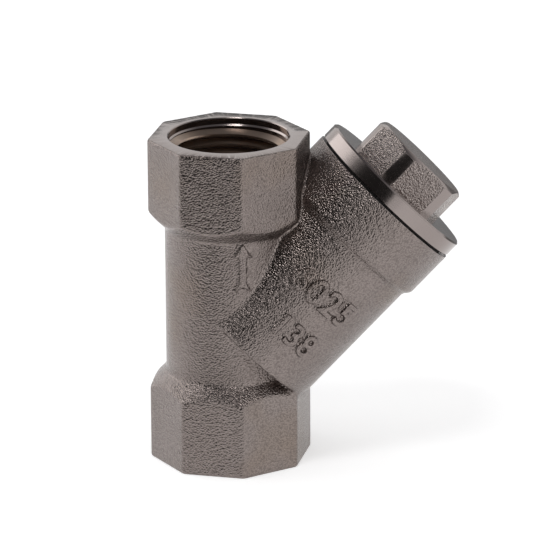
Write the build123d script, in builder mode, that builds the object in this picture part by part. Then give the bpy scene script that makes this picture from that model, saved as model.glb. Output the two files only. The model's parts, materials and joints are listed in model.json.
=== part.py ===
from build123d import *
import math
import os

# A gas strainer with a slanted screen branch, all sizes in millimetres.
# The flow line is the Z axis: it enters at the bottom end face, which lies on Z = 0, and leaves at the top.
# The branch leans 45 degrees towards +X. Heights in the branch are measured along its own axis,
# from the point where that axis crosses the flow line.

# Flow line
face_to_face = 59.5
passage_diameter = 15.0
tube_wall = 4.0

# Threaded end sockets, octagonal outside, G 1/2 inside with the bore at the thread's major diameter
socket_across_flats = 27.0
socket_flat_length = 13.3
socket_edge_rounding = 0.6
end_face_margin = 1.6
end_thread_diameter = 20.955
end_thread_depth = 12.2
end_entry_diameter = 21.5
end_entry_depth = 1.2

# Branch outside
branch_crossing_height = 18.58
branch_wall = 3.25
branch_start = 3.8
collar_start = 29.6
collar_slope_length = 1.0
branch_mouth = 39.55
branch_rim_rounding = 1.0
junction_rounding = 0.5

# Branch inside, from the flow line outwards
partition_start = 2.5
seat_shoulder = 3.8
partition_end = 6.8
chamber_relief = 0.8
branch_thread_diameter = 24.0
branch_thread_length = 9.8

# Gasket, half sunk in the branch mouth
gasket_ring_width = 1.9
gasket_thickness = 1.0
gasket_sunk = 0.6
gasket_side_clearance = 0.1
gasket_pocket_wall = 1.3

# Screened insert
screen_outer_diameter = 18.0
screen_length = 33.0
screen_wall = 0.5
screen_plain_band = 3.2
screen_hole_diameter = 4.0
screen_hole_rows = 4
screen_holes_around = 7
screen_seat_clearance = 0.1
screen_cap_clearance = 0.15
screen_end_clearance = 0.3
mesh_thickness = 0.2
mesh_clearance = 0.05

# Cap
cap_thread_clearance = 0.05
cap_thread_length = 9.0
cap_flange_inset = 0.15
cap_flange_thickness = 2.9
cap_flange_chamfer = 0.3
cap_hex_across_flats = 18.2
cap_hex_corner_diameter = 19.7
cap_hex_height = 6.5
cap_hex_end_diameter = 17.8
cap_hex_end_slope = 0.7
cap_relief_diameter = 13.0
cap_crown_thickness = 3.6

# Places worked out from the sizes above
passage_radius = passage_diameter / 2
tube_radius = passage_radius + tube_wall
socket_corner_radius = socket_across_flats / 2 / math.cos(math.radians(22.5))
end_face_radius = (socket_across_flats + end_face_margin) / 2
socket_cone_rise = socket_corner_radius - tube_radius
end_thread_radius = end_thread_diameter / 2
end_cone_depth = end_thread_radius - passage_radius
branch_thread_radius = branch_thread_diameter / 2
chamber_radius = branch_thread_radius - chamber_relief
branch_radius = chamber_radius + branch_wall
gasket_seat = branch_mouth - gasket_sunk
gasket_top = gasket_seat + gasket_thickness
gasket_inner_radius = branch_thread_radius + gasket_side_clearance
gasket_outer_radius = gasket_inner_radius + gasket_ring_width
gasket_pocket_radius = gasket_outer_radius + gasket_side_clearance
collar_radius = gasket_pocket_radius + gasket_pocket_wall
screen_radius = screen_outer_diameter / 2
screen_top = seat_shoulder + screen_length
cap_shank_radius = branch_thread_radius - cap_thread_clearance
cap_shank_start = gasket_top - cap_thread_length
cap_recess_top = screen_top + screen_end_clearance
cap_flange_radius = collar_radius - cap_flange_inset
cap_flange_top = gasket_top + cap_flange_thickness
cap_top = cap_flange_top + cap_hex_height

branch_foot = Vector(0, 0, branch_crossing_height)
branch_direction = Vector(1, 0, 1).normalized()
branch_axis = Axis(branch_foot, branch_direction)
flow_profile = Plane.XZ
branch_profile = Plane(origin=branch_foot, x_dir=(1, 0, -1), z_dir=(0, -1, 0))


def branch_plane(height):
    """The plane across the branch at a height along its axis, with its local X towards -Y."""
    return Plane(branch_foot + branch_direction * height, x_dir=(0, -1, 0), z_dir=branch_direction)


def from_flow_line(edge):
    """How far the middle of an edge stands from the flow line."""
    return math.hypot(edge.center().X, edge.center().Y)


def along_branch(edge):
    """How far the middle of an edge lies along the branch axis."""
    return (edge.center() - branch_foot).dot(branch_direction)


def turn(points, plane, axis, mode=Mode.ADD):
    """Turn a closed half profile, given as (radius, height) points, about its axis."""
    with BuildSketch(plane) as profile:
        with BuildLine():
            Polyline(*points, close=True)
        make_face()
    revolve(profile.sketch, axis=axis, mode=mode)


# End socket: an octagonal bar, turned to a chamfer at its end face and to a cone down to the tube
with BuildPart() as socket:
    with BuildSketch() as octagon:
        RegularPolygon(socket_corner_radius, 8)
        fillet(octagon.vertices(), socket_edge_rounding)
    extrude(amount=socket_flat_length + socket_cone_rise)
    socket_turning = [
        (0, 0),
        (end_face_radius, 0),
        (socket_corner_radius, socket_corner_radius - end_face_radius),
        (socket_corner_radius, socket_flat_length),
        (tube_radius, socket_flat_length + socket_cone_rise),
        (0, socket_flat_length + socket_cone_rise),
    ]
    turn(socket_turning, flow_profile, Axis.Z, mode=Mode.INTERSECT)

# Branch outside: a stepped round bar with a rounded rim at its lower end
with BuildPart() as branch:
    branch_turning = [
        (0, branch_start),
        (branch_radius, branch_start),
        (branch_radius, collar_start),
        (collar_radius, collar_start + collar_slope_length),
        (collar_radius, branch_mouth),
        (0, branch_mouth),
    ]
    turn(branch_turning, branch_profile, branch_axis)
    fillet(branch.edges().sort_by(branch_axis)[0], branch_rim_rounding)

# The body's waterway: both ports, the passages on each side of the slanted partition and the branch bore
with BuildPart() as port:
    port_turning = [
        (0, 0),
        (end_entry_diameter / 2, 0),
        (end_entry_diameter / 2, end_entry_depth),
        (end_thread_radius, end_entry_depth + end_entry_diameter / 2 - end_thread_radius),
        (end_thread_radius, end_thread_depth),
        (passage_radius, end_thread_depth + end_cone_depth),
        (0, end_thread_depth + end_cone_depth),
    ]
    turn(port_turning, flow_profile, Axis.Z)

with BuildPart() as inlet_passage:
    with BuildSketch(Plane.XY.offset(end_thread_depth)):
        Circle(passage_radius)
    extrude(amount=face_to_face / 2)
    split(bisect_by=branch_plane(partition_start), keep=Keep.BOTTOM)

with BuildPart() as outlet_passage:
    with BuildSketch(Plane.XY.offset(end_thread_depth)):
        Circle(passage_radius)
    extrude(amount=face_to_face - 2 * end_thread_depth)
    split(bisect_by=branch_plane(partition_end), keep=Keep.TOP)

with BuildPart() as branch_bore:
    bore_turning = [
        (0, partition_start),
        (passage_radius, partition_start),
        (passage_radius, seat_shoulder),
        (screen_radius + screen_seat_clearance, seat_shoulder),
        (screen_radius + screen_seat_clearance, partition_end),
        (chamber_radius, partition_end),
        (chamber_radius, branch_mouth - branch_thread_length),
        (branch_thread_radius, branch_mouth - branch_thread_length),
        (branch_thread_radius, gasket_seat),
        (gasket_pocket_radius, gasket_seat),
        (gasket_pocket_radius, branch_mouth),
        (0, branch_mouth),
    ]
    turn(bore_turning, branch_profile, branch_axis)

# Forged body
with BuildPart() as body:
    with BuildSketch(Plane.XY.offset(socket_flat_length)):
        Circle(tube_radius)
    extrude(amount=face_to_face - 2 * socket_flat_length)
    add(socket.part)
    add(socket.part.mirror(Plane.XY).moved(Location((0, 0, face_to_face))))
    add(branch.part)
    creases = body.edges(Select.NEW)
    tube_creases = creases.filter_by(lambda crease: abs(from_flow_line(crease) - tube_radius) < junction_rounding / 4)
    collar_creases = creases.filter_by(lambda crease: along_branch(crease) > collar_start)
    fillet(tube_creases + collar_creases, junction_rounding)
    add(port.part, mode=Mode.SUBTRACT)
    add(port.part.mirror(Plane.XY).moved(Location((0, 0, face_to_face))), mode=Mode.SUBTRACT)
    add(inlet_passage.part, mode=Mode.SUBTRACT)
    add(outlet_passage.part, mode=Mode.SUBTRACT)
    add(branch_bore.part, mode=Mode.SUBTRACT)

# Gasket
with BuildPart() as cap_gasket:
    with BuildSketch(branch_plane(gasket_seat)):
        Circle(gasket_outer_radius)
        Circle(gasket_inner_radius, mode=Mode.SUBTRACT)
    extrude(amount=gasket_thickness)

# Screen support: a perforated tube between two plain end bands
with BuildPart() as screen_support:
    with BuildSketch(branch_plane(seat_shoulder)):
        Circle(screen_radius)
        Circle(screen_radius - screen_wall, mode=Mode.SUBTRACT)
    extrude(amount=screen_length)
    row_pitch = (screen_length - 2 * screen_plain_band) / screen_hole_rows
    hole_step = 360 / screen_holes_around
    for row in range(screen_hole_rows):
        row_plane = branch_plane(seat_shoulder + screen_plain_band + row_pitch * (row + 0.5))
        for hole in range(screen_holes_around):
            angle = math.radians(hole_step * (hole + 0.5 * (row % 2)))
            outward = row_plane.x_dir * math.cos(angle) + row_plane.y_dir * math.sin(angle)
            with BuildSketch(Plane(row_plane.origin, x_dir=branch_direction, z_dir=outward)):
                Circle(screen_hole_diameter / 2)
            extrude(amount=screen_outer_diameter, mode=Mode.SUBTRACT)

# Screen mesh: a fine sleeve inside the perforated tube
with BuildPart() as screen_mesh:
    mesh_outer_radius = screen_radius - screen_wall - mesh_clearance
    with BuildSketch(branch_plane(seat_shoulder)):
        Circle(mesh_outer_radius)
        Circle(mesh_outer_radius - mesh_thickness, mode=Mode.SUBTRACT)
    extrude(amount=screen_length)

# Cap: a hexagonal bar turned down to its corners, flange and shank, hollow for the screen's end
with BuildPart() as hexagon:
    with BuildSketch(branch_plane(cap_flange_top)):
        RegularPolygon(cap_hex_across_flats / 2, 6, major_radius=False)
    extrude(amount=cap_hex_height)
    hexagon_turning = [
        (0, cap_flange_top),
        (cap_hex_corner_diameter / 2, cap_flange_top),
        (cap_hex_corner_diameter / 2, cap_top - cap_hex_end_slope),
        (cap_hex_end_diameter / 2, cap_top),
        (0, cap_top),
    ]
    turn(hexagon_turning, branch_profile, branch_axis, mode=Mode.INTERSECT)

with BuildPart() as cap:
    cap_turning = [
        (0, cap_shank_start),
        (cap_shank_radius, cap_shank_start),
        (cap_shank_radius, gasket_top),
        (cap_flange_radius - cap_flange_chamfer, gasket_top),
        (cap_flange_radius, gasket_top + cap_flange_chamfer),
        (cap_flange_radius, cap_flange_top - cap_flange_chamfer),
        (cap_flange_radius - cap_flange_chamfer, cap_flange_top),
        (0, cap_flange_top),
    ]
    turn(cap_turning, branch_profile, branch_axis)
    add(hexagon.part)
    recess_turning = [
        (0, cap_shank_start),
        (screen_radius + screen_cap_clearance, cap_shank_start),
        (screen_radius + screen_cap_clearance, cap_recess_top),
        (cap_relief_diameter / 2, cap_recess_top),
        (cap_relief_diameter / 2, cap_top - cap_crown_thickness),
        (0, cap_top - cap_crown_thickness),
    ]
    turn(recess_turning, branch_profile, branch_axis, mode=Mode.SUBTRACT)

body.part.label = "body"
cap.part.label = "cap"
cap_gasket.part.label = "cap_gasket"
screen_support.part.label = "screen_support"
screen_mesh.part.label = "screen_mesh"

os.makedirs("parts", exist_ok=True)
for piece in (body, cap, cap_gasket, screen_support, screen_mesh):
    export_step(piece.part, f"parts/{piece.part.label}.step")
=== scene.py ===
"""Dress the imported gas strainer: forged, turned and threaded surfaces, raised marks, screen and a plain studio."""
import json
import math

import bpy
from bpy.props import FloatProperty, FloatVectorProperty, IntProperty, PointerProperty, StringProperty
from mathutils import Matrix, Vector


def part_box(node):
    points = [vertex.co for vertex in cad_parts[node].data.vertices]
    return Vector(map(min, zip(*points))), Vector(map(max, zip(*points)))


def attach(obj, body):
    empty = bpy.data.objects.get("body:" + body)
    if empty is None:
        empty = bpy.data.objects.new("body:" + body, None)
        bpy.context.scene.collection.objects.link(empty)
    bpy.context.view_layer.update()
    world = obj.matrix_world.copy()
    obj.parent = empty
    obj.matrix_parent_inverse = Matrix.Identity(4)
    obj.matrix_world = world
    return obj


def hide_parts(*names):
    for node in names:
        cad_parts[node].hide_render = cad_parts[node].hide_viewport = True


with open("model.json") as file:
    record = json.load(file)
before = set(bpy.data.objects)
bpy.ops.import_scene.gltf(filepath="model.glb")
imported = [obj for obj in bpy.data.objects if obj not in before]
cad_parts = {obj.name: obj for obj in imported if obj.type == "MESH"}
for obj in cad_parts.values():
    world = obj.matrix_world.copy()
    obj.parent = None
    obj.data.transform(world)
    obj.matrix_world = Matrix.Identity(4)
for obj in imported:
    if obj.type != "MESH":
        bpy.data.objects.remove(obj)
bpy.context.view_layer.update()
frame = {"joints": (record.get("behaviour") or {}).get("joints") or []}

bl_info = {
    "name": "Gas strainer",
    "version": (1, 0, 0),
    "blender": (4, 5, 0),
    "location": "3D View > Sidebar > Strainer",
    "description": "Builds a forged gas strainer with its cap, gasket, screen and studio",
    "category": "Object",
}

MM = 0.001

# The branch leans from the flow line, which is the Z axis. Local X points down and out, local Y stays Y.
CAP_TURN = next(joint for joint in frame["joints"] if joint["name"] == "cap_turn")
BRANCH_DIRECTION = Vector(CAP_TURN["axis"]).normalized()
HINGE_POINT = Vector(CAP_TURN["pos_m"])
BRANCH_FOOT = HINGE_POINT - BRANCH_DIRECTION * (HINGE_POINT.x / BRANCH_DIRECTION.x)
BRANCH_ACROSS = Vector((0, 1, 0)).cross(BRANCH_DIRECTION)
BRANCH_PLACE = Matrix.Translation(BRANCH_FOOT) @ Matrix((BRANCH_ACROSS, (0, 1, 0), BRANCH_DIRECTION)).transposed().to_4x4()
FLOW_PLACE = Matrix.Identity(4)
END_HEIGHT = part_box("body")[1].z
UPSIDE_DOWN = Matrix.Translation((0, 0, END_HEIGHT)) @ Matrix.Rotation(math.pi, 4, "X")


def length(name, description, value):
    """A length in millimetres, kept as a property in metres."""
    return FloatProperty(name=name, description=description, default=value * MM, min=0, precision=5, unit="LENGTH")


def colour(name, description, value):
    """A plain colour property."""
    return FloatVectorProperty(name=name, description=description, default=value, size=4, min=0, max=1, subtype="COLOR")


class StrainerBodySizes(bpy.types.PropertyGroup):
    """Sizes of the forged body."""

    across_flats: length("Across flats", "Width of the octagonal sockets", 27.0)
    flat_length: length("Flat length", "Length of the socket flats at a corner", 13.3)
    end_face_radius: length("End face radius", "Outer radius of the turned end faces", 14.3)
    tube_radius: length("Tube radius", "Outer radius of the tube", 11.5)
    branch_radius: length("Branch radius", "Outer radius of the branch", 14.45)
    branch_start: length("Branch start", "Where the branch begins along its axis", 3.8)
    collar_radius: length("Collar radius", "Outer radius of the branch collar", 15.4)
    collar_start: length("Collar start", "Where the branch widens to its collar", 29.6)
    collar_slope: length("Collar slope", "Length of the slope up to the collar", 1.0)
    branch_mouth: length("Branch mouth", "Where the branch ends", 39.55)
    passage_radius: length("Passage radius", "Radius of the inner passages", 7.5)
    entry_radius: length("Entry radius", "Radius of the plain entry of each port", 10.75)
    entry_depth: length("Entry depth", "Depth of the plain entry of each port", 1.2)
    port_depth: length("Port depth", "Depth of each threaded port", 12.2)
    forging_voxel: length("Forging voxel", "Fineness of the forged surface", 0.25)
    forging_softness: IntProperty(name="Forging softness", description="How far forged edges are rounded", default=9, min=0)


class StrainerBranchSizes(bpy.types.PropertyGroup):
    """Sizes inside the branch, as heights along its axis and radii."""

    partition_start: length("Partition start", "Inlet side of the slanted partition", 2.5)
    seat_shoulder: length("Seat shoulder", "Where the screen stands", 3.8)
    partition_end: length("Partition end", "Outlet side of the slanted partition", 6.8)
    seat_radius: length("Seat radius", "Radius of the screen's seat", 9.1)
    chamber_radius: length("Chamber radius", "Radius of the screen chamber", 11.2)
    thread_start: length("Thread start", "Where the branch thread begins", 29.75)
    gasket_seat: length("Gasket seat", "Floor of the gasket pocket", 38.95)
    pocket_radius: length("Pocket radius", "Radius of the gasket pocket", 14.1)


class StrainerCapSizes(bpy.types.PropertyGroup):
    """Sizes of the screwed cap and its gasket."""

    shank_start: length("Shank start", "Inner end of the threaded shank", 30.95)
    seat_height: length("Seat height", "Underside of the flange", 39.95)
    flange_radius: length("Flange radius", "Outer radius of the flange", 15.25)
    flange_thickness: length("Flange thickness", "Thickness of the flange", 2.9)
    flange_chamfer: length("Flange chamfer", "Chamfer on the flange rim", 0.3)
    hex_across_flats: length("Hexagon across flats", "Width of the hexagon", 18.2)
    hex_corner_radius: length("Hexagon corner radius", "Radius to which the corners are turned", 9.85)
    hex_height: length("Hexagon height", "Height of the hexagon above the flange", 6.5)
    hex_end_radius: length("Hexagon end radius", "Radius of the flat at the hexagon's end", 8.9)
    hex_end_slope: length("Hexagon end slope", "Height of the slope round the hexagon's end", 0.7)
    recess_radius: length("Recess radius", "Radius of the hollow that holds the screen", 9.15)
    recess_top: length("Recess top", "Depth of the hollow that holds the screen", 37.1)
    relief_radius: length("Relief radius", "Radius of the hollow under the hexagon", 6.5)
    relief_top: length("Relief top", "Depth of the hollow under the hexagon", 45.75)
    gasket_inner_radius: length("Gasket inner radius", "Inner radius of the gasket", 12.1)
    gasket_outer_radius: length("Gasket outer radius", "Outer radius of the gasket", 14.0)


class StrainerThreadSizes(bpy.types.PropertyGroup):
    """Sizes of the pipe threads and of the cap's thread."""

    port_pitch: length("Port pitch", "Pitch of the pipe thread", 1.814)
    port_major_radius: length("Port major radius", "Root radius of the pipe thread", 10.4775)
    port_minor_radius: length("Port minor radius", "Crest radius of the pipe thread", 9.32)
    cap_pitch: length("Cap pitch", "Pitch of the cap's thread", 1.5)
    branch_major_radius: length("Branch major radius", "Root radius of the branch thread", 12.0)
    branch_minor_radius: length("Branch minor radius", "Crest radius of the branch thread", 11.25)
    cap_major_radius: length("Cap major radius", "Crest radius of the cap's thread", 11.92)
    cap_minor_radius: length("Cap minor radius", "Root radius of the cap's thread", 11.08)
    steps_per_turn: IntProperty(name="Steps per turn", description="Segments in one turn of a thread", default=96, min=8)


class StrainerMarkSizes(bpy.types.PropertyGroup):
    """Sizes and words of the raised marks."""

    upper_number: StringProperty(name="Upper number", description="Plain number near the collar", default="6025")
    lower_number: StringProperty(name="Lower number", description="Plain number near the partition", default="138")
    upper_height: length("Upper place", "Middle of the upper number along the branch", 20.3)
    lower_height: length("Lower place", "Middle of the lower number along the branch", 11.8)
    upper_size: length("Upper size", "Font size of the upper number", 6.6)
    lower_size: length("Lower size", "Font size of the lower number", 6.0)
    lower_offset: length("Lower offset", "How far the lower number stands from the front line", 0.9)
    number_boldness: length("Number boldness", "How far the strokes are widened", 0.13)
    relief: length("Relief", "How far the marks stand out", 0.6)
    arrow_low: length("Arrow foot", "Height of the flow arrow's foot", 34.2)
    arrow_high: length("Arrow tip", "Height of the flow arrow's tip", 43.1)
    arrow_width: length("Arrow width", "Width of the flow arrow's head", 3.0)
    arrow_offset: length("Arrow offset", "How far the arrow stands from the front line", 0.45)


class StrainerScreenSizes(bpy.types.PropertyGroup):
    """Sizes of the screen that lies in the branch."""

    tube_radius: length("Tube radius", "Outer radius of the perforated tube", 9.0)
    tube_wall: length("Tube wall", "Wall of the perforated tube", 0.5)
    screen_length: length("Length", "Length of the screen", 33.0)
    end_band: length("End band", "Plain band at each end", 2.4)
    hole_radius: length("Hole radius", "Radius of one hole", 0.75)
    holes_around: IntProperty(name="Holes around", description="Holes in one row", default=24, min=8)
    hole_rows: IntProperty(name="Hole rows", description="Rows of holes", default=12, min=2)
    mesh_radius: length("Mesh radius", "Middle radius of the woven sleeve", 8.35)
    wire_thickness: length("Wire thickness", "Thickness of the mesh wires", 0.14)
    wires_around: IntProperty(name="Wires around", description="Wires that run lengthwise", default=84, min=12)
    wires_along: IntProperty(name="Wires along", description="Wires that run round", default=52, min=8)


class StrainerFinishColours(bpy.types.PropertyGroup):
    """Colours of the finishes."""

    nickel: colour("Nickel", "Shot-blasted nickel", (0.285, 0.244, 0.229, 1))
    nickel_shade: colour("Nickel shade", "Duller patches of the blasted nickel", (0.225, 0.190, 0.176, 1))
    # Painted highlight: the hexagon's nickel is the body's nickel made lighter, standing in for light that falls on the
    # hexagon.
    hexagon: colour("Hexagon", "Brighter nickel of the hexagon", (0.400, 0.350, 0.330, 1))
    stain: colour("Stain", "Brass that shows warm through thin plate", (0.250, 0.190, 0.145, 1))
    # Painted shade: this colour darkens the bottoms of the blasting pits, where shade falls.
    pit_painted_shade: colour("Pit", "Bottoms of the blasted nickel's pits", (0.085, 0.070, 0.064, 1))
    turned: colour("Turned nickel", "Turned faces", (0.300, 0.260, 0.248, 1))
    # Partly painted light: the cut brass is made lighter, standing in for light inside the bores; its warm tone is the
    # brass's own.
    thread: colour("Thread", "Cut threads, where brass shows through", (0.46, 0.34, 0.25, 1))
    gasket: colour("Gasket", "Gasket material", (0.018, 0.017, 0.017, 1))
    stainless: colour("Stainless", "Screen metal", (0.52, 0.51, 0.49, 1))
    floor: colour("Floor", "Studio floor", (0.86, 0.86, 0.86, 1))


class StrainerStageSizes(bpy.types.PropertyGroup):
    """The photograph's viewing angle and the studio round the object."""

    azimuth: FloatProperty(name="Azimuth", description="Turn of the camera about Z", default=math.radians(-9.53), subtype="ANGLE")
    elevation: FloatProperty(name="Elevation", description="Height of the camera", default=math.radians(18.89), subtype="ANGLE")
    roll: FloatProperty(name="Roll", description="Tilt of the camera", default=math.radians(-0.22), subtype="ANGLE")
    distance: length("Distance", "Distance of the camera from the origin", 815.8)
    aim_right: length("Aim right", "How far the camera looks past the origin to the right", 8.82)
    aim_up: length("Aim up", "How far the camera looks past the origin upwards", 30.74)
    focal_length: FloatProperty(name="Focal length", description="Focal length in millimetres", default=290.4)


class Value:
    """One output of a material's node tree, which takes part in arithmetic."""

    def __init__(self, tree, socket):
        self.tree = tree
        self.socket = socket

    def math(self, operation, first, second):
        node = self.tree.nodes.new("ShaderNodeMath")
        node.operation = operation
        fill(self.tree, node.inputs[0], first)
        fill(self.tree, node.inputs[1], second)
        return Value(self.tree, node.outputs[0])

    def __add__(self, other):
        return self.math("ADD", self, other)

    def __radd__(self, other):
        return self.math("ADD", other, self)

    def __sub__(self, other):
        return self.math("SUBTRACT", self, other)

    def __rsub__(self, other):
        return self.math("SUBTRACT", other, self)

    def __mul__(self, other):
        return self.math("MULTIPLY", self, other)

    def __rmul__(self, other):
        return self.math("MULTIPLY", other, self)


def fill(tree, socket, value):
    """Give a socket a link or a plain value."""
    if isinstance(value, Value):
        tree.links.new(value.socket, socket)
    else:
        socket.default_value = value


class Finish:
    """A material while its nodes are added."""

    def __init__(self, name):
        self.material = bpy.data.materials.new(name)
        self.material.use_nodes = True
        self.tree = self.material.node_tree
        self.surface = self.tree.nodes["Principled BSDF"]

    def node(self, kind, settings, inputs, output=0):
        """Add one node, set its settings first and then its sockets, and give back one output."""
        node = self.tree.nodes.new(kind)
        for name, value in settings.items():
            setattr(node, name, value)
        for name, value in inputs.items():
            fill(self.tree, node.inputs[name], value)
        return Value(self.tree, node.outputs[output])

    def place(self, matrix=FLOW_PLACE):
        """Object coordinates, seen from a place of the object such as the branch."""
        position = self.node("ShaderNodeTexCoord", {}, {}, "Object")
        if matrix == FLOW_PLACE:
            return position
        back = matrix.inverted()
        settings = {"Vector": position, "Location": back.translation, "Rotation": back.to_euler()}
        return self.node("ShaderNodeMapping", {"vector_type": "POINT"}, settings)

    def noise(self, position, scale, detail=2.0, roughness=0.5):
        settings = {"Vector": position, "Scale": scale, "Detail": detail, "Roughness": roughness}
        return self.node("ShaderNodeTexNoise", {}, settings, "Fac")

    def blend(self, share, first, second):
        """A colour between two colours."""
        node = self.tree.nodes.new("ShaderNodeMix")
        node.data_type = "RGBA"
        fill(self.tree, node.inputs[0], share)
        fill(self.tree, node.inputs[6], first)
        fill(self.tree, node.inputs[7], second)
        return Value(self.tree, node.outputs[2])

    def bump(self, height, depth, strength=1.0):
        return self.node("ShaderNodeBump", {}, {"Height": height, "Distance": depth, "Strength": strength})

    def shade(self, inputs):
        for name, value in inputs.items():
            fill(self.tree, self.surface.inputs[name], value)
        return self.material


def blasted_nickel(colours, name, bright, shade, depth):
    """Nickel plate over a shot-blasted surface: fine pebbles, a few wider dents, duller patches and painted shade in
    the pits.
    """
    finish = Finish(name)
    position = finish.place()
    cells = {"Vector": position, "Scale": 3000.0, "Randomness": 1.0}
    pebbles = finish.node("ShaderNodeTexVoronoi", {"feature": "F1"}, cells, "Distance")
    grit = finish.noise(position, 6000.0, detail=1.0)
    dents = finish.noise(position, 1300.0, detail=1.0)
    patches = finish.noise(position, 110.0, detail=3.0)
    stains = finish.node("ShaderNodeMapRange", {}, {
        "Value": finish.noise(position, 60.0), "From Min": 0.52, "From Max": 0.75, "To Max": 0.6,
    })
    plate = finish.blend(stains, finish.blend(patches, bright, shade), colours.stain)
    # Painted shade: the base colour darkens towards the pit colour at the bottoms of the pebble pits.
    pit_shade_mask = finish.node("ShaderNodeMapRange", {}, {"Value": pebbles, "From Min": 0.35, "From Max": 0.75, "To Max": 0.5})
    return finish.shade({
        "Base Color": finish.blend(pit_shade_mask, plate, colours.pit_painted_shade),
        "Metallic": 1.0,
        "Roughness": patches * 0.10 + 0.15,
        "Normal": finish.bump(grit * 0.5 + dents * 0.25 - pebbles, depth),
    })


def turned_nickel(colours, name="turned_plate", matrix=FLOW_PLACE):
    """Nickel plate over turned brass, with the tool's fine rings about an axis."""
    finish = Finish(name)
    position = finish.place(matrix)
    axes = finish.tree.nodes.new("ShaderNodeSeparateXYZ")
    fill(finish.tree, axes.inputs[0], position)
    x, y, z = (Value(finish.tree, socket) for socket in axes.outputs)
    radius = finish.node("ShaderNodeMath", {"operation": "SQRT"}, {0: x * x + y * y})
    rings = finish.node("ShaderNodeCombineXYZ", {}, {0: radius * 5000.0, 1: z * 5000.0, 2: 0.0})
    lines = finish.noise(rings, 1.0, detail=3.0, roughness=0.7)
    smudges = finish.noise(position, 160.0, detail=3.0)
    return finish.shade({
        "Base Color": finish.blend(smudges, colours.turned, colours.nickel),
        "Metallic": 1.0,
        "Roughness": smudges * 0.12 + 0.10,
        "Normal": finish.bump(lines, 0.006 * MM),
    })


def cut_thread_with_painted_light(colours, name="cut_thread_with_painted_light"):
    """Cut brass under a thin plate, darker and warmer than the outside. Its brass colour is partly painted light, made
    lighter to stand in for light inside the bores.
    """
    finish = Finish(name)
    position = finish.place()
    stains = finish.noise(position, 260.0, detail=4.0, roughness=0.6)
    return finish.shade({
        # Partly painted light: the lighter brass stands in for light inside the bores.
        "Base Color": finish.blend(stains, colours.thread, colours.nickel_shade),
        "Metallic": 1.0,
        "Roughness": stains * 0.2 + 0.22,
        "Normal": finish.bump(finish.noise(position, 2500.0), 0.01 * MM),
    })


def gasket_rubber(colours):
    """Matt black fibre rubber."""
    finish = Finish("gasket_fibre")
    position = finish.place()
    fibres = finish.noise(position, 2200.0, detail=4.0)
    return finish.shade({
        "Base Color": finish.blend(fibres, colours.gasket, (0.035, 0.034, 0.033, 1)),
        "Roughness": fibres * 0.2 + 0.6,
        "Normal": finish.bump(fibres, 0.02 * MM),
    })


def stainless(colours, name, grain):
    """Rolled stainless steel with a fine grain."""
    finish = Finish(name)
    position = finish.place(BRANCH_PLACE)
    stretched = finish.node("ShaderNodeMapping", {"vector_type": "POINT"}, {"Vector": position, "Scale": (1.0, 1.0, 0.06)})
    streaks = finish.noise(stretched, grain, detail=3.0, roughness=0.65)
    return finish.shade({
        "Base Color": finish.blend(streaks, colours.stainless, (0.36, 0.355, 0.34, 1)),
        "Metallic": 1.0,
        "Roughness": streaks * 0.2 + 0.2,
        "Normal": finish.bump(streaks, 0.01 * MM),
    })


def start_piece():
    """Leave nothing selected before a new primitive is added."""
    if bpy.context.object and bpy.context.object.mode != "OBJECT":
        bpy.ops.object.mode_set(mode="OBJECT")
    bpy.ops.object.select_all(action="DESELECT")


def named(name):
    """Name the active object and its mesh."""
    piece = bpy.context.object
    piece.name = name
    piece.data.name = name
    return piece


def apply_modifier(piece, kind, **settings):
    """Add one modifier to a piece with its settings, and apply it."""
    bpy.context.view_layer.objects.active = piece
    modifier = piece.modifiers.new(kind, kind)
    for name, value in settings.items():
        setattr(modifier, name, value)
    bpy.ops.object.modifier_apply(modifier=modifier.name)


def combine(piece, tool, operation):
    """Join, cut or intersect a piece with a tool, which is used up."""
    apply_modifier(piece, "BOOLEAN", operation=operation, object=tool, solver="EXACT", material_mode="TRANSFER")
    bpy.data.objects.remove(tool)


def join(pieces):
    """Put several meshes into the first one."""
    start_piece()
    for piece in pieces:
        piece.select_set(True)
    bpy.context.view_layer.objects.active = pieces[0]
    bpy.ops.object.join()
    return pieces[0]


def edit(piece):
    """Open a piece for editing with everything selected."""
    start_piece()
    piece.select_set(True)
    bpy.context.view_layer.objects.active = piece
    bpy.ops.object.mode_set(mode="EDIT")
    bpy.ops.mesh.select_all(action="SELECT")


def close_edit():
    """Point all faces outwards and leave edit mode."""
    bpy.ops.mesh.select_all(action="SELECT")
    bpy.ops.mesh.normals_make_consistent(inside=False)
    bpy.ops.object.mode_set(mode="OBJECT")


def lathe(name, profile, matrix=FLOW_PLACE, segments=128):
    """Turn a solid about local Z: a disc at the first (radius, height), extruded ring by ring through the rest."""
    start_piece()
    radius, height = profile[0]
    bpy.ops.mesh.primitive_circle_add(vertices=segments, radius=radius, fill_type="NGON", location=(0, 0, 0))
    piece = named(name)
    edit(piece)
    bpy.ops.transform.translate(value=(0, 0, height))
    for next_radius, next_height in profile[1:]:
        bpy.ops.mesh.extrude_region_move(TRANSFORM_OT_translate={"value": (0, 0, next_height - height)})
        ratio = next_radius / radius
        bpy.ops.transform.resize(value=(ratio, ratio, 1), center_override=(0, 0, 0))
        radius, height = next_radius, next_height
    close_edit()
    piece.data.transform(matrix)
    return piece


def prism(name, sides, across_flats, low, high, matrix=FLOW_PLACE):
    """A straight bar along local Z with corners on local Y."""
    start_piece()
    corner_radius = across_flats / 2 / math.cos(math.pi / sides)
    middle = (low + high) / 2
    bpy.ops.mesh.primitive_cylinder_add(vertices=sides, radius=corner_radius, depth=high - low, location=(0, 0, 0))
    piece = named(name)
    piece.data.transform(matrix @ Matrix.Translation((0, 0, middle)) @ Matrix.Rotation(math.pi / 2, 4, "Z"))
    return piece


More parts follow.
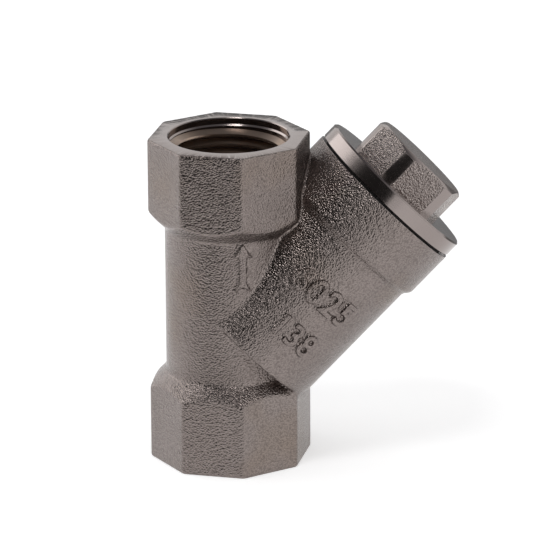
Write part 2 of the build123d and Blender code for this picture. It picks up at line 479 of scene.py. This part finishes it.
def copy_of(piece, name, matrix):
    """Another piece of the same form, with its own mesh."""
    twin = piece.copy()
    twin.data = piece.data.copy()
    twin.name = name
    twin.data.transform(matrix)
    bpy.context.scene.collection.objects.link(twin)
    return twin


def dress(piece, *materials):
    """Give a piece its materials in order."""
    piece.data.materials.clear()
    for material in materials:
        piece.data.materials.append(material)


def smooth(piece, angle=30):
    """Shade a piece smooth up to an angle."""
    start_piece()
    piece.select_set(True)
    bpy.context.view_layer.objects.active = piece
    bpy.ops.object.shade_smooth_by_angle(angle=math.radians(angle))


def seat(piece, body, slot, *nodes):
    """Let a finished piece ride on its body and stand for its nodes. Its slot is not used."""
    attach(piece, body)
    if nodes:
        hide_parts(*nodes)


def octagonal_socket(sizes):
    """One threaded end before machining: an octagonal bar that runs out in a cone down to the tube."""
    overrun = 0.08 * MM
    corner_radius = sizes.across_flats / 2 / math.cos(math.pi / 8)
    cone_end = sizes.flat_length + corner_radius - sizes.tube_radius + MM
    bar = prism("socket", 8, sizes.across_flats, -overrun, cone_end)
    envelope = lathe("socket_envelope", [
        (corner_radius + MM, -overrun - MM),
        (corner_radius + MM, sizes.flat_length - MM),
        (sizes.tube_radius - MM, cone_end),
    ])
    combine(bar, envelope, "INTERSECT")
    return bar


def wrap(piece, radius, matrix, height, turn, relief):
    """Lay a flat extruded mark round a cylinder: its X becomes the way round, its Y the way up the axis."""
    for vertex in piece.data.vertices:
        angle = turn + vertex.co.x / radius
        reach = radius + (relief if vertex.co.z > 0 else -MM)
        vertex.co = matrix @ Vector((reach * math.sin(angle), -reach * math.cos(angle), height + vertex.co.y))


def raised_number(words, size, marks, radius, height, offset=0.0):
    """A plain number that stands out of the front of the branch, its top towards the cap."""
    start_piece()
    bpy.ops.object.text_add(location=(0, 0, 0))
    text = bpy.context.object
    text.data.body = words
    text.data.size = size
    text.data.align_x = "CENTER"
    text.data.align_y = "CENTER"
    text.data.extrude = MM
    text.data.offset = marks.number_boldness
    text.data.space_character = 1.08
    bpy.ops.object.convert(target="MESH")
    number = named("number")
    edit(number)
    bpy.ops.mesh.remove_doubles(threshold=0.001 * MM)
    close_edit()
    wrap(number, radius, BRANCH_PLACE, height, offset / radius, marks.relief)
    return number


def flow_arrow(marks, radius):
    """A plain arrow that stands out of the front of the tube and points to the outlet."""
    start_piece()
    tall = marks.arrow_high - marks.arrow_low
    half = marks.arrow_width / 2
    shaft = half * 0.40
    outline = [
        (0, tall),
        (-half, tall * 0.70),
        (-shaft, tall * 0.74),
        (-shaft, tall * 0.16),
        (-half, 0),
        (0, tall * 0.10),
        (half, 0),
        (shaft, tall * 0.16),
        (shaft, tall * 0.74),
        (half, tall * 0.70),
    ]
    bpy.ops.mesh.primitive_plane_add(size=MM, location=(0, 0, 0))
    arrow = named("flow_arrow")
    arrow.data.clear_geometry()
    corners = [(x, y, -MM) for x, y in outline]
    arrow.data.from_pydata(corners, [], [list(range(len(corners)))])
    edit(arrow)
    bpy.ops.mesh.extrude_region_move(TRANSFORM_OT_translate={"value": (0, 0, 2 * MM)})
    close_edit()
    wrap(arrow, radius, FLOW_PLACE, marks.arrow_low, marks.arrow_offset / radius, marks.relief)
    return arrow


def forging(sizes, marks):
    """The body as it leaves the dies and the shot blasting: all solid, edges and creases rounded, marks raised."""
    radius = sizes.branch_radius
    lower = octagonal_socket(sizes)
    upper = copy_of(lower, "upper_socket", UPSIDE_DOWN)
    tube = lathe("tube", [(sizes.tube_radius, sizes.port_depth), (sizes.tube_radius, END_HEIGHT - sizes.port_depth)])
    branch = lathe("branch", [
        (sizes.branch_radius, sizes.branch_start),
        (sizes.branch_radius, sizes.collar_start),
        (sizes.collar_radius, sizes.collar_start + sizes.collar_slope),
        (sizes.collar_radius, sizes.branch_mouth + 1.5 * MM),
    ], BRANCH_PLACE)
    blank = join([lower, upper, tube, branch])
    apply_modifier(blank, "REMESH", mode="VOXEL", voxel_size=sizes.forging_voxel)
    apply_modifier(blank, "SMOOTH", factor=0.5, iterations=sizes.forging_softness)
    blank = join([
        blank,
        raised_number(marks.upper_number, marks.upper_size, marks, radius, marks.upper_height),
        raised_number(marks.lower_number, marks.lower_size, marks, radius, marks.lower_height, marks.lower_offset),
        flow_arrow(marks, sizes.tube_radius),
    ])
    apply_modifier(blank, "REMESH", mode="VOXEL", voxel_size=sizes.forging_voxel * 0.8)
    apply_modifier(blank, "SMOOTH", factor=0.5, iterations=3)
    apply_modifier(blank, "DECIMATE", ratio=0.42)
    return blank


def port_tool(sizes, threads):
    """What the lathe takes out of the lower end: end face, chamfer, entry, thread bore and the cone to the passage."""
    corner = 16.0 * MM
    edge_break = 0.15 * MM
    bore = threads.port_major_radius
    profile = [
        (sizes.passage_radius, sizes.port_depth + bore - sizes.passage_radius),
        (bore, sizes.port_depth),
        (bore, sizes.entry_depth + sizes.entry_radius - bore),
        (sizes.entry_radius, sizes.entry_depth),
        (sizes.entry_radius, edge_break),
        (sizes.entry_radius + edge_break, 0),
        (sizes.end_face_radius, 0),
        (corner, corner - sizes.end_face_radius),
        (corner, -4 * MM),
    ]
    return lathe("port_tool", profile)


def passage_tool(sizes, matrix, low, high, keep_low, cut_height):
    """A passage along the flow line that ends at a plane across the branch."""
    tool = lathe("passage_tool", [(sizes.passage_radius, low), (sizes.passage_radius, high)], matrix)
    edit(tool)
    point = BRANCH_FOOT + BRANCH_DIRECTION * cut_height
    bpy.ops.mesh.bisect(
        plane_co=point, plane_no=BRANCH_DIRECTION, use_fill=True, clear_outer=keep_low, clear_inner=not keep_low
    )
    close_edit()
    return tool


def branch_tool(sizes, inside):
    """What is bored out of the branch, with its mouth face and gasket pocket."""
    clear = 17.0 * MM
    edge_break = 0.05 * MM
    profile = [
        (sizes.passage_radius, inside.partition_start - 0.5 * MM),
        (sizes.passage_radius, inside.seat_shoulder),
        (inside.seat_radius, inside.seat_shoulder),
        (inside.seat_radius, inside.partition_end),
        (inside.chamber_radius, inside.partition_end),
        (inside.chamber_radius, inside.thread_start),
        (12.0 * MM, inside.thread_start),
        (12.0 * MM, inside.gasket_seat),
        (inside.pocket_radius, inside.gasket_seat),
        (inside.pocket_radius, sizes.branch_mouth),
        (sizes.collar_radius - edge_break, sizes.branch_mouth),
        (sizes.collar_radius + edge_break, sizes.branch_mouth - 2 * edge_break),
        (clear, sizes.branch_mouth - 2 * edge_break),
        (clear, sizes.branch_mouth + 4 * MM),
    ]
    return lathe("branch_tool", profile, BRANCH_PLACE)


def helical_ridge(name, profile, pitch, low, high, steps_per_turn, phase=0.0):
    """A ridge wound about local Z, from a profile of (radius, height) corners, closed at both ends."""
    start_piece()
    bpy.ops.mesh.primitive_plane_add(size=MM, location=(0, 0, 0))
    ridge = named(name)
    ridge.data.clear_geometry()
    corners = [(radius, 0, low + height) for radius, height in profile]
    edges = [(number, (number + 1) % len(corners)) for number in range(len(corners))]
    ridge.data.from_pydata(corners, edges, [])
    turns = (high - low) / pitch
    apply_modifier(
        ridge, "SCREW", angle=turns * math.tau, screw_offset=high - low, iterations=1,
        steps=round(turns * steps_per_turn), render_steps=round(turns * steps_per_turn),
        use_merge_vertices=False,
    )
    edit(ridge)
    bpy.ops.mesh.select_non_manifold()
    bpy.ops.mesh.edge_face_add()
    bpy.ops.mesh.select_all(action="DESELECT")
    bpy.ops.mesh.select_non_manifold()
    bpy.ops.mesh.fill_holes(sides=len(profile))
    close_edit()
    ridge.data.transform(Matrix.Rotation(phase, 4, "Z"))
    return ridge


def shape_ridge(ridge, base_radius, low, high, run_out, limit=None):
    """Let a ridge run out at both ends, and turn it down to a limiting radius where there is one."""
    for vertex in ridge.data.vertices:
        radius = math.hypot(vertex.co.x, vertex.co.y)
        fade = min(1.0, max(0.0, vertex.co.z - low) / run_out, max(0.0, high - vertex.co.z) / run_out)
        new_radius = base_radius + (radius - base_radius) * fade
        if limit:
            new_radius = limit(new_radius, vertex.co.z)
        vertex.co.x *= new_radius / radius
        vertex.co.y *= new_radius / radius


def port_thread(sizes, threads):
    """The pipe thread of the lower port, chamfered where the pipe goes in."""
    sunk = 0.06 * MM
    base = threads.port_major_radius + sunk
    pitch = threads.port_pitch
    profile = [
        (base, -0.47 * pitch),
        (threads.port_minor_radius, -0.09 * pitch),
        (threads.port_minor_radius, 0.09 * pitch),
        (base, 0.47 * pitch),
    ]
    low = sizes.entry_depth + 0.1 * pitch
    high = sizes.port_depth - 0.5 * pitch
    ridge = helical_ridge("port_thread", profile, pitch, low, high, threads.steps_per_turn)

    def chamfer(radius, height):
        return max(radius, min(base, sizes.entry_radius - 0.1 * MM - (height - sizes.entry_depth)))

    shape_ridge(ridge, base, low - 0.5 * pitch, high + 0.5 * pitch, 0.9 * pitch, chamfer)
    return ridge


class STRAINER_OT_body(bpy.types.Operator):
    """Build the forged body with its machined ends, bores and threads"""

    bl_idname = "strainer.body"
    bl_label = "Forged body"

    def execute(self, context):
        scene = context.scene
        sizes = scene.strainer_body
        inside = scene.strainer_branch
        threads = scene.strainer_threads
        colours = scene.strainer_colours
        blasted = blasted_nickel(colours, "blasted_plate", colours.nickel, colours.nickel_shade, 0.12 * MM)
        turned = turned_nickel(colours)
        cut = cut_thread_with_painted_light(colours)
        body = forging(sizes, scene.strainer_marks)
        dress(body, blasted)
        inlet = port_tool(sizes, threads)
        outlet = copy_of(inlet, "outlet_tool", UPSIDE_DOWN)
        middle = END_HEIGHT / 2
        tools = [
            inlet,
            outlet,
            passage_tool(sizes, FLOW_PLACE, sizes.port_depth, middle + 4 * MM, True, inside.partition_start),
            passage_tool(sizes, FLOW_PLACE, sizes.port_depth, END_HEIGHT - sizes.port_depth, False, inside.partition_end),
            branch_tool(sizes, inside),
        ]
        for tool in tools:
            dress(tool, turned)
            combine(body, tool, "DIFFERENCE")
        body.name = "forged_body"
        body.data.name = "forged_body"
        smooth(body, 28)
        seat(body, "strainer_body", "blasted_nickel", "body")
        inlet_thread = port_thread(sizes, threads)
        outlet_thread = copy_of(inlet_thread, "outlet_thread", UPSIDE_DOWN)
        inlet_thread.name = "inlet_thread"
        pitch = threads.cap_pitch
        base = threads.branch_major_radius + 0.05 * MM
        profile = [
            (base, -0.44 * pitch),
            (threads.branch_minor_radius, -0.08 * pitch),
            (threads.branch_minor_radius, 0.08 * pitch),
            (base, 0.44 * pitch),
        ]
        low = inside.thread_start + 0.6 * pitch
        high = inside.gasket_seat - 0.6 * pitch
        branch_thread = helical_ridge("branch_thread", profile, pitch, low, high, threads.steps_per_turn)
        shape_ridge(branch_thread, base, low - 0.5 * pitch, high + 0.5 * pitch, 0.9 * pitch)
        branch_thread.data.transform(BRANCH_PLACE)
        for thread in (inlet_thread, outlet_thread, branch_thread):
            dress(thread, cut)
            smooth(thread, 20)
            seat(thread, "strainer_body", "blasted_nickel")
        return {"FINISHED"}


class STRAINER_OT_cap(bpy.types.Operator):
    """Build the screwed cap with its flange, hexagon, hollow shank and thread"""

    bl_idname = "strainer.cap"
    bl_label = "Screwed cap"

    def execute(self, context):
        scene = context.scene
        sizes = scene.strainer_cap
        threads = scene.strainer_threads
        colours = scene.strainer_colours
        turned = turned_nickel(colours, "cap_turned", BRANCH_PLACE)
        # Painted highlight: the hexagon takes a lighter copy of the blasted nickel, standing in for light that falls on
        # it.
        blasted = blasted_nickel(colours, "hexagon_plate_painted_highlight", colours.hexagon, colours.nickel, 0.20 * MM)
        flange_top = sizes.seat_height + sizes.flange_thickness
        hex_top = flange_top + sizes.hex_height
        cap = lathe("cap_blank", [
            (sizes.relief_radius, sizes.relief_top),
            (sizes.relief_radius, sizes.recess_top),
            (sizes.recess_radius, sizes.recess_top),
            (sizes.recess_radius, sizes.shank_start),
            (threads.cap_minor_radius, sizes.shank_start),
            (threads.cap_minor_radius, sizes.seat_height),
            (sizes.flange_radius - 0.1 * MM, sizes.seat_height),
            (sizes.flange_radius, sizes.seat_height + 0.1 * MM),
            (sizes.flange_radius, flange_top - sizes.flange_chamfer),
            (sizes.flange_radius - sizes.flange_chamfer, flange_top),
            (sizes.hex_end_radius, flange_top),
        ], segments=160)
        dress(cap, turned)
        hexagon = prism("hexagon", 6, sizes.hex_across_flats, flange_top - 0.5 * MM, hex_top)
        dress(hexagon, blasted)
        envelope = lathe("hexagon_envelope", [
            (sizes.hex_corner_radius, flange_top - MM),
            (sizes.hex_corner_radius, hex_top - sizes.hex_end_slope),
            (sizes.hex_end_radius, hex_top),
        ], segments=160)
        dress(envelope, turned)
        combine(hexagon, envelope, "INTERSECT")
        apply_modifier(hexagon, "BEVEL", width=0.18 * MM, segments=3, limit_method="ANGLE", angle_limit=math.radians(14))
        combine(cap, hexagon, "UNION")
        cap.data.transform(BRANCH_PLACE)
        cap.name = "screwed_cap"
        cap.data.name = "screwed_cap"
        smooth(cap, 28)
        seat(cap, "screwed_cap", "turned_nickel", "cap")
        pitch = threads.cap_pitch
        base = threads.cap_minor_radius - 0.05 * MM
        profile = [
            (base, -0.44 * pitch),
            (base, 0.44 * pitch),
            (threads.cap_major_radius, 0.08 * pitch),
            (threads.cap_major_radius, -0.08 * pitch),
        ]
        low = sizes.shank_start + 0.6 * pitch
        high = sizes.seat_height - 1.2 * pitch
        thread = helical_ridge("cap_thread", profile, pitch, low, high, threads.steps_per_turn, math.pi)
        shape_ridge(thread, base, low - 0.5 * pitch, high + 0.5 * pitch, 0.9 * pitch)
        thread.data.transform(BRANCH_PLACE)
        dress(thread, turned)
        smooth(thread, 20)
        seat(thread, "screwed_cap", "turned_nickel")
        return {"FINISHED"}


class STRAINER_OT_gasket(bpy.types.Operator):
    """Build the gasket between the flange and the branch mouth"""

    bl_idname = "strainer.gasket"
    bl_label = "Gasket"

    def execute(self, context):
        sizes = context.scene.strainer_cap
        low = context.scene.strainer_branch.gasket_seat
        high = sizes.seat_height
        edge = 0.12 * MM
        inner, outer = sizes.gasket_inner_radius, sizes.gasket_outer_radius
        ring = lathe("gasket_ring", [
            (outer - edge, low),
            (outer, low + edge),
            (outer, high - edge),
            (outer - edge, high),
        ])
        hole = lathe("gasket_hole", [(inner, low - MM), (inner, high + MM)])
        combine(ring, hole, "DIFFERENCE")
        ring.data.transform(BRANCH_PLACE)
        dress(ring, gasket_rubber(context.scene.strainer_colours))
        smooth(ring)
        seat(ring, "gasket", "gasket", "cap_gasket")
        return {"FINISHED"}


def perforated_cell(sizes, width, height):
    """One flat cell with a round hole, whose border has sixteen corners so that rows can be staggered."""
    start_piece()
    bpy.ops.mesh.primitive_plane_add(size=MM, location=(0, 0, 0))
    cell = named("cell")
    cell.data.clear_geometry()
    sides = 16
    border = []
    for number in range(4):
        border.append((-0.5 + number / 4, -0.5))
    for number in range(4):
        border.append((0.5, -0.5 + number / 4))
    for number in range(4):
        border.append((0.5 - number / 4, 0.5))
    for number in range(4):
        border.append((-0.5, 0.5 - number / 4))
    corners = [(x * width, y * height, 0) for x, y in border]
    for number in range(sides):
        angle = math.tau * number / sides - math.radians(135)
        corners.append((sizes.hole_radius * math.cos(angle), sizes.hole_radius * math.sin(angle), 0))
    faces = []
    for number in range(sides):
        following = (number + 1) % sides
        faces.append((number, following, sides + following, sides + number))
    cell.data.from_pydata(corners, [], faces)
    return cell


class STRAINER_OT_screen(bpy.types.Operator):
    """Build the perforated tube and the woven sleeve inside it"""

    bl_idname = "strainer.screen"
    bl_label = "Screen"

    def execute(self, context):
        scene = context.scene
        sizes = scene.strainer_screen
        colours = scene.strainer_colours
        start_height = scene.strainer_branch.seat_shoulder
        width = math.tau * sizes.tube_radius / sizes.holes_around
        height = (sizes.screen_length - 2 * sizes.end_band) / sizes.hole_rows
        cell = perforated_cell(sizes, width, height)
        apply_modifier(cell, "ARRAY", count=sizes.holes_around, use_merge_vertices=True, merge_threshold=0.01 * MM)
        rows = [cell]
        for row in range(1, sizes.hole_rows):
            shift = Matrix.Translation((width / 2 * (row % 2), height * row, 0))
            rows.append(copy_of(cell, "row", shift))
        tube = join(rows)
        edit(tube)
        bpy.ops.mesh.remove_doubles(threshold=0.01 * MM)
        bpy.ops.object.mode_set(mode="OBJECT")
        for vertex in tube.data.vertices:
            angle = vertex.co.x / sizes.tube_radius
            low = start_height + sizes.end_band + height / 2 + vertex.co.y
            vertex.co = (sizes.tube_radius * math.cos(angle), sizes.tube_radius * math.sin(angle), low)
        edit(tube)
        bpy.ops.mesh.remove_doubles(threshold=0.01 * MM)
        bpy.ops.object.mode_set(mode="OBJECT")
        low_edge = start_height + sizes.end_band
        high_edge = start_height + sizes.screen_length - sizes.end_band
        for edge_height, move in ((low_edge, -sizes.end_band), (high_edge, sizes.end_band)):
            edit(tube)
            bpy.ops.mesh.select_all(action="DESELECT")
            bpy.ops.object.mode_set(mode="OBJECT")
            for edge in tube.data.edges:
                ends = [tube.data.vertices[number].co.z for number in edge.vertices]
                edge.select = max(abs(end - edge_height) for end in ends) < 0.01 * MM
            bpy.ops.object.mode_set(mode="EDIT")
            bpy.ops.mesh.select_mode(type="EDGE")
            bpy.ops.mesh.extrude_region_move(TRANSFORM_OT_translate={"value": (0, 0, move)})
            bpy.ops.mesh.select_mode(type="VERT")
            bpy.ops.object.mode_set(mode="OBJECT")
        edit(tube)
        close_edit()
        apply_modifier(tube, "SOLIDIFY", thickness=sizes.tube_wall, offset=-1.0)
        tube.name = "perforated_tube"
        tube.data.name = "perforated_tube"
        tube.data.transform(BRANCH_PLACE)
        dress(tube, stainless(colours, "perforated_sheet", 1600.0))
        smooth(tube)
        seat(tube, "screen", "stainless_sheet", "screen_support")
        wire = sizes.wire_thickness
        start_piece()
        bpy.ops.mesh.primitive_cylinder_add(
            vertices=sizes.wires_around, radius=sizes.mesh_radius, depth=sizes.screen_length - wire,
            end_fill_type="NOTHING", location=(0, 0, 0),
        )
        sleeve = named("woven_sleeve")
        edit(sleeve)
        bpy.ops.mesh.select_all(action="DESELECT")
        bpy.ops.object.mode_set(mode="OBJECT")
        for edge in sleeve.data.edges:
            ends = [sleeve.data.vertices[number].co.z for number in edge.vertices]
            edge.select = abs(ends[0] - ends[1]) > wire
        bpy.ops.object.mode_set(mode="EDIT")
        bpy.ops.mesh.subdivide(number_cuts=sizes.wires_along)
        close_edit()
        apply_modifier(sleeve, "WIREFRAME", thickness=wire, use_even_offset=False, use_boundary=True)
        sleeve.data.transform(BRANCH_PLACE @ Matrix.Translation((0, 0, start_height + sizes.screen_length / 2)))
        dress(sleeve, stainless(colours, "woven_wire", 4000.0))
        smooth(sleeve)
        seat(sleeve, "screen", "stainless_mesh", "screen_mesh")
        return {"FINISHED"}


def floor_finish(colours):
    """A pale floor that looks white to the camera and in reflections, and keeps the object's shadow."""
    finish = Finish("studio_floor")
    tree = finish.tree
    glow = tree.nodes.new("ShaderNodeEmission")
    glow.inputs["Color"].default_value = (1, 1, 1, 1)
    glow.inputs["Strength"].default_value = 0.42
    finish.shade({"Base Color": colours.floor, "Roughness": 1.0, "Specular IOR Level": 0.0})
    path = tree.nodes.new("ShaderNodeLightPath")
    seen = Value(tree, path.outputs["Is Camera Ray"])
    seen = seen.math("MAXIMUM", seen, Value(tree, path.outputs["Is Glossy Ray"]))
    seen = seen.math("MAXIMUM", seen, Value(tree, path.outputs["Is Transmission Ray"]))
    both = tree.nodes.new("ShaderNodeAddShader")
    tree.links.new(finish.surface.outputs[0], both.inputs[0])
    tree.links.new(glow.outputs[0], both.inputs[1])
    choice = tree.nodes.new("ShaderNodeMixShader")
    fill(tree, choice.inputs[0], seen)
    tree.links.new(finish.surface.outputs[0], choice.inputs[1])
    tree.links.new(both.outputs[0], choice.inputs[2])
    tree.links.new(choice.outputs[0], tree.nodes["Material Output"].inputs["Surface"])
    return finish.material


def studio_world():
    """White all round at eye level and a dark ceiling, the same for the camera and for reflections."""
    world = bpy.data.worlds.new("studio")
    bpy.context.scene.world = world
    world.use_nodes = True
    tree = world.node_tree
    direction = tree.nodes.new("ShaderNodeTexCoord")
    axes = tree.nodes.new("ShaderNodeSeparateXYZ")
    tree.links.new(direction.outputs["Generated"], axes.inputs[0])
    ramp = tree.nodes.new("ShaderNodeValToRGB")
    ramp.color_ramp.elements[0].position = 0.52
    ramp.color_ramp.elements[0].color = (1, 1, 1, 1)
    ramp.color_ramp.elements[1].position = 0.80
    ramp.color_ramp.elements[1].color = (0.16, 0.16, 0.17, 1)
    tree.links.new(axes.outputs["Z"], ramp.inputs[0])
    background = tree.nodes["Background"]
    tree.links.new(ramp.outputs[0], background.inputs["Color"])
    background.inputs["Strength"].default_value = 1.0


def direction(azimuth, elevation):
    """The unit vector towards a point of the studio, with azimuth 0 at +X."""
    flat = math.cos(elevation)
    return Vector((flat * math.cos(azimuth), flat * math.sin(azimuth), math.sin(elevation)))


def soft_box(name, azimuth, elevation, distance, width, tall, power):
    """A rectangular lamp that faces the middle of the object."""
    light = bpy.data.lights.new(name, "AREA")
    light.shape = "RECTANGLE"
    light.size = width
    light.size_y = tall
    light.energy = power
    lamp = bpy.data.objects.new(name, light)
    towards = direction(math.radians(azimuth), math.radians(elevation))
    middle = Vector((0.008, 0, 0.03))
    lamp.location = middle + towards * distance
    lamp.rotation_euler = towards.to_track_quat("Z", "Y").to_euler()
    lamp.visible_camera = False
    bpy.context.scene.collection.objects.link(lamp)


def bent_card(name, first, last, profile, shade):
    """A card bent round the object between two azimuths, which only reflections see, as one is set for metal."""
    card = lathe(name, profile, segments=72)
    edit(card)
    bpy.ops.mesh.select_all(action="DESELECT")
    bpy.ops.object.mode_set(mode="OBJECT")
    for face in card.data.polygons:
        azimuth = math.degrees(math.atan2(face.center.y, face.center.x))
        face.select = face.loop_total > 4 or (azimuth - first) % 360 > last - first
    bpy.ops.object.mode_set(mode="EDIT")
    bpy.ops.mesh.delete(type="FACE")
    bpy.ops.object.mode_set(mode="OBJECT")
    finish = Finish(name)
    dress(card, finish.shade({"Base Color": (shade, shade, shade, 1), "Roughness": 1.0, "Specular IOR Level": 0.0}))
    card.visible_camera = False
    card.visible_diffuse = False
    card.visible_shadow = False


class STRAINER_OT_stage(bpy.types.Operator):
    """Set the floor, the lamps and the camera"""

    bl_idname = "strainer.stage"
    bl_label = "Studio"

    def execute(self, context):
        scene = context.scene
        stage = scene.strainer_stage
        start_piece()
        bpy.ops.mesh.primitive_plane_add(size=6, location=(0, 0, 0))
        floor = named("studio_floor")
        dress(floor, floor_finish(scene.strainer_colours))
        studio_world()
        soft_box("left_box", 154, 28, 0.50, 0.67, 0.30, 0.80)
        soft_box("right_box", 305, 25, 0.60, 0.70, 0.60, 0.35)
        soft_box("top_lamp", 238, 67, 0.50, 0.14, 0.10, 0.50)
        bent_card("camera_card", 190, 264, [(0.12, 0.001), (0.22, 0.001), (0.25, 0.02), (0.26, 0.28)], 0.02)
        bent_card("paper_card", 235, 452, [(0.035, 0.0005), (0.125, 0.0005)], 0.6)
        bent_card("back_card", 20, 95, [(0.13, 0.001), (0.28, 0.001), (0.30, 0.02), (0.30, 0.12)], 0.3)
        azimuth, elevation = stage.azimuth, stage.elevation
        back = direction(azimuth - math.pi / 2, elevation)
        right = Vector((0, 0, 1)).cross(back).normalized()
        up = back.cross(right)
        tilt = Matrix.Rotation(stage.roll, 3, back)
        right, up = tilt @ right, tilt @ up
        camera_data = bpy.data.cameras.new("camera")
        camera_data.lens = stage.focal_length
        camera_data.sensor_width = 36
        camera_data.clip_start = 0.01
        camera = bpy.data.objects.new("camera", camera_data)
        place = Matrix((right, up, back)).transposed().to_4x4()
        place.translation = back * stage.distance + right * stage.aim_right + up * stage.aim_up
        camera.matrix_world = place
        scene.collection.objects.link(camera)
        scene.camera = camera
        scene.view_settings.view_transform = "Standard"
        return {"FINISHED"}


class STRAINER_PT_panel(bpy.types.Panel):
    """The buttons that build the strainer"""

    bl_idname = "STRAINER_PT_panel"
    bl_label = "Gas strainer"
    bl_space_type = "VIEW_3D"
    bl_region_type = "UI"
    bl_category = "Strainer"

    def draw(self, context):
        for operator in OPERATORS:
            self.layout.operator(operator.bl_idname)
        for name in SETTINGS:
            settings = getattr(context.scene, name)
            for key in settings.__annotations__:
                self.layout.prop(settings, key)


SETTINGS = {
    "strainer_body": StrainerBodySizes,
    "strainer_branch": StrainerBranchSizes,
    "strainer_cap": StrainerCapSizes,
    "strainer_threads": StrainerThreadSizes,
    "strainer_marks": StrainerMarkSizes,
    "strainer_screen": StrainerScreenSizes,
    "strainer_colours": StrainerFinishColours,
    "strainer_stage": StrainerStageSizes,
}
OPERATORS = (STRAINER_OT_body, STRAINER_OT_cap, STRAINER_OT_gasket, STRAINER_OT_screen, STRAINER_OT_stage)


def register():
    for name, settings in SETTINGS.items():
        bpy.utils.register_class(settings)
        setattr(bpy.types.Scene, name, PointerProperty(type=settings))
    for operator in OPERATORS:
        bpy.utils.register_class(operator)
    bpy.utils.register_class(STRAINER_PT_panel)


def unregister():
    bpy.utils.unregister_class(STRAINER_PT_panel)
    for operator in reversed(OPERATORS):
        bpy.utils.unregister_class(operator)
    for name, settings in SETTINGS.items():
        delattr(bpy.types.Scene, name)
        bpy.utils.unregister_class(settings)


def main():
    """Build every piece and the studio."""
    register()
    bpy.ops.strainer.body()
    bpy.ops.strainer.cap()
    bpy.ops.strainer.gasket()
    bpy.ops.strainer.screen()
    bpy.ops.strainer.stage()


if __name__ == "__main__":
    main()
